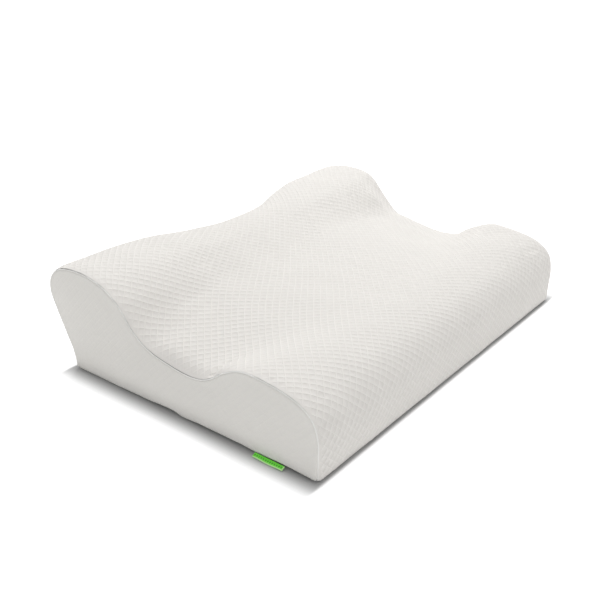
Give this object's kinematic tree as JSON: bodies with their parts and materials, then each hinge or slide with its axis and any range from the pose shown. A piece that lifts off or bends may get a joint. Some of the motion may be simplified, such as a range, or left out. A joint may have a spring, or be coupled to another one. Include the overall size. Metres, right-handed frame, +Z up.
{
  "type": "contour bed pillow",
  "caption": "Contour bed pillow with a low and a high lobe, a foam core in a knit liner, a zip-off knit cover, a sewn edge label and a care label.",
  "frame": {"origin": "middle of the underside, on the surface the pillow lies on", "axes": "+X along the long side, away from the end with the edge label; +Y from the low front lobe to the high back lobe; +Z up"},
  "size_m": [0.607, 0.4477, 0.15],
  "materials": {
    "foam": "pale cream open-cell memory foam, matt",
    "liner_jersey": "thin off-white jersey, matt",
    "cover_knit": "warm white double knit with a raised diamond pattern, soft sheen",
    "base_knit": "plain off-white knit, matt",
    "seam_thread": "off-white overlocked seam edge, matt",
    "zipper_tape": "white woven polyester tape, matt",
    "zipper_coil": "white nylon coil, slightly glossy",
    "zipper_metal": "white enamelled zinc, semi-gloss",
    "label_green": "bright green woven satin ribbon, plain",
    "label_satin": "white printed-label satin, left blank"
  },
  "bodies": {
    "pillow": {"foam_core": "foam", "liner_upper": "liner_jersey", "liner_base": "liner_jersey", "cover_top_panel": "cover_knit", "cover_end_panel_left": "cover_knit", "cover_end_panel_right": "cover_knit", "cover_base_panel": "base_knit", "end_seam_left": "seam_thread", "end_seam_right": "seam_thread", "base_seam": "seam_thread", "zipper_tape_upper": "zipper_tape", "zipper_tape_lower": "zipper_tape", "zipper_coil_upper": "zipper_coil", "zipper_coil_lower": "zipper_coil", "zipper_stop_upper": "zipper_metal", "zipper_stop_lower": "zipper_metal", "zipper_end_stop": "zipper_metal", "care_label": "label_satin"},
    "slider": {"zipper_slider": "zipper_metal"},
    "pull_tab": {"zipper_pull_tab": "zipper_metal"},
    "edge_label": {"side_label": "label_green"}
  },
  "joints": [
    {"name": "zipper_slide", "type": "slide", "parent": "pillow", "child": "slider", "axis": [1, 0, 0], "range_m": [0, 0.52]},
    {"name": "pull_tab_swing", "type": "hinge", "parent": "slider", "child": "pull_tab", "pos_m": [-0.26, 0.192, 0.011], "axis": [0, 0, -1], "range_deg": [0, 170]},
    {"name": "edge_label_lift", "type": "hinge", "parent": "pillow", "child": "edge_label", "pos_m": [-0.3008, -0.155, 0.0037], "axis": [0, 1, 0], "range_deg": [0, 100]}
  ]
}
